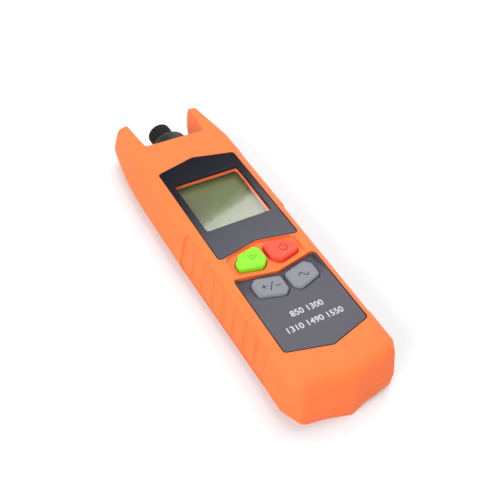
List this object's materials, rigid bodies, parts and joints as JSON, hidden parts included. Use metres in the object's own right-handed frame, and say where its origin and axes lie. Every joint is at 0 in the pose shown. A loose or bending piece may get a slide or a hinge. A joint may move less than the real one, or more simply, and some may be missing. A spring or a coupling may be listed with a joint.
{
  "type": "optical power meter",
  "caption": "Handheld fibre optic power meter with display window, press keys, capped fibre port between two guard horns, and a battery door on the back.",
  "frame": {"origin": "middle of the footprint, on the plane of the back face that the meter lies on", "axes": "+X across the meter to the user's right, +Y along it towards the fibre port, +Z out of the display face"},
  "size_m": [0.055, 0.1747, 0.024],
  "materials": {
    "housing": "fine satin grain",
    "panel": "glossy",
    "clear_window": "clear",
    "display": "grey green",
    "frame_plastic": "matte",
    "elastomer": "matte",
    "key_green": "satin",
    "key_red": "satin",
    "key_grey": "satin",
    "steel": "plain",
    "board": "satin",
    "chip": "matte",
    "nickel": "nickel plated",
    "ceramic": "ground zirconia",
    "collar": "black",
    "cap": "soft black",
    "cell": "plain sleeve"
  },
  "bodies": {
    "meter": {"front_shell": "housing", "back_shell": "housing", "upper_panel": "panel", "lower_panel": "panel", "window_lens": "clear_window", "display_glass": "display", "display_frame": "frame_plastic", "elastomer_strips": "elastomer", "keypad_membrane": "elastomer", "dome_switches": "steel", "circuit_board": "board", "board_screws": "steel", "case_screws": "steel", "processor_chip": "chip", "photodiode": "steel", "fiber_adapter": "nickel", "ceramic_sleeve": "ceramic", "connector_collar": "collar", "collar_nut": "nickel", "battery_1": "cell", "battery_2": "cell", "battery_3": "cell", "contact_plates": "nickel", "contact_springs": "nickel"},
    "backlight_button": {"key_backlight": "key_green"},
    "power_button": {"key_power": "key_red"},
    "reference_button": {"key_reference": "key_grey"},
    "wavelength_button": {"key_wavelength": "key_grey"},
    "port_cap": {"dust_cap": "cap"},
    "cell_cover": {"battery_door": "housing"}
  },
  "joints": [
    {"name": "backlight_press", "type": "slide", "parent": "meter", "child": "backlight_button", "axis": [0, 0, -1], "range_m": [0, 0.0006], "stiffness_N_per_m": 2500, "springref_m": -0.0002},
    {"name": "power_press", "type": "slide", "parent": "meter", "child": "power_button", "axis": [0, 0, -1], "range_m": [0, 0.0006], "stiffness_N_per_m": 2500, "springref_m": -0.0002},
    {"name": "reference_press", "type": "slide", "parent": "meter", "child": "reference_button", "axis": [0, 0, -1], "range_m": [0, 0.0006], "stiffness_N_per_m": 2500, "springref_m": -0.0002},
    {"name": "wavelength_press", "type": "slide", "parent": "meter", "child": "wavelength_button", "axis": [0, 0, -1], "range_m": [0, 0.0006], "stiffness_N_per_m": 2500, "springref_m": -0.0002},
    {"name": "cap_pull", "type": "slide", "parent": "meter", "child": "port_cap", "axis": [0, 1, 0], "range_m": [0, 0.012]},
    {"name": "door_hinge", "type": "hinge", "parent": "meter", "child": "cell_cover", "pos_m": [0, -0.0145, 0.001], "axis": [1, 0, 0], "range_deg": [0, 70]}
  ]
}
